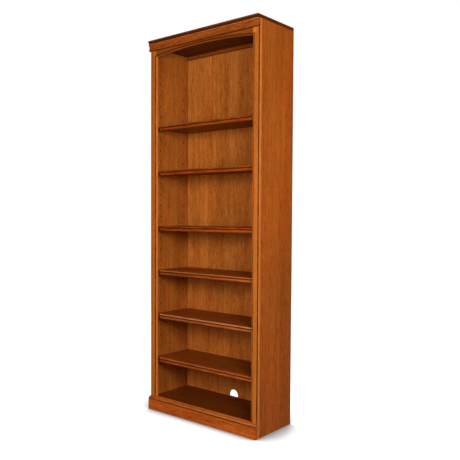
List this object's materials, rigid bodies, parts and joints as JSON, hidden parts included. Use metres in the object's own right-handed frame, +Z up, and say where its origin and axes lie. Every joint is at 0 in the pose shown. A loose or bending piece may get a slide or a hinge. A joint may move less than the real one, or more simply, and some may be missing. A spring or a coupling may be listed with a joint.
{
  "type": "open bookcase with adjustable shelves",
  "caption": "Tall open oak bookcase with a face frame, arched top rail, crown and base mouldings, and loose shelves on clips set in rows of holes.",
  "frame": {"origin": "middle of the footprint, on the floor", "axes": "+Z up, front faces -Y, +X to the right seen from the front"},
  "size_m": [0.775, 0.327, 2.134],
  "materials": {
    "oak_frame": "satin lacquer over stained oak",
    "oak_panel": "satin lacquer over stained oak veneer",
    "oak_shelf": "satin lacquer over stained oak veneer",
    "bare_wood": "plain sawn wood",
    "clip_bronze": "dark bronzed metal",
    "nail_steel": "plain steel"
  },
  "bodies": {
    "case": {"side_left": "oak_panel", "side_right": "oak_panel", "floor_board": "oak_shelf", "subtop": "oak_shelf", "cap_board": "oak_frame", "back_panel": "oak_panel", "rear_nailer": "oak_shelf", "stile_left": "oak_frame", "stile_right": "oak_frame", "arch_rail": "oak_frame", "bottom_rail": "oak_frame", "crown_moulding": "oak_frame", "base_board": "oak_frame", "glue_blocks": "bare_wood", "case_dowels": "bare_wood", "frame_dowels": "bare_wood", "back_nails": "nail_steel", "shelf_1_clips": "clip_bronze", "shelf_2_clips": "clip_bronze", "shelf_3_clips": "clip_bronze", "shelf_4_clips": "clip_bronze", "shelf_5_clips": "clip_bronze", "shelf_6_clips": "clip_bronze"},
    "shelf_1": {"shelf_1_board": "oak_shelf", "shelf_1_nosing": "oak_frame"},
    "shelf_2": {"shelf_2_board": "oak_shelf", "shelf_2_nosing": "oak_frame"},
    "shelf_3": {"shelf_3_board": "oak_shelf", "shelf_3_nosing": "oak_frame"},
    "shelf_4": {"shelf_4_board": "oak_shelf", "shelf_4_nosing": "oak_frame"},
    "shelf_5": {"shelf_5_board": "oak_shelf", "shelf_5_nosing": "oak_frame"},
    "shelf_6": {"shelf_6_board": "oak_shelf", "shelf_6_nosing": "oak_frame"}
  },
  "joints": [
    {"name": "shelf_1_lift", "type": "slide", "parent": "case", "child": "shelf_1", "axis": [0, 0, 1], "range_m": [0, 0.42]},
    {"name": "shelf_2_lift", "type": "slide", "parent": "case", "child": "shelf_2", "axis": [0, 0, 1], "range_m": [0, 0.22]},
    {"name": "shelf_3_lift", "type": "slide", "parent": "case", "child": "shelf_3", "axis": [0, 0, 1], "range_m": [0, 0.284]},
    {"name": "shelf_4_lift", "type": "slide", "parent": "case", "child": "shelf_4", "axis": [0, 0, 1], "range_m": [0, 0.22]},
    {"name": "shelf_5_lift", "type": "slide", "parent": "case", "child": "shelf_5", "axis": [0, 0, 1], "range_m": [0, 0.22]},
    {"name": "shelf_6_lift", "type": "slide", "parent": "case", "child": "shelf_6", "axis": [0, 0, 1], "range_m": [0, 0.22]}
  ]
}
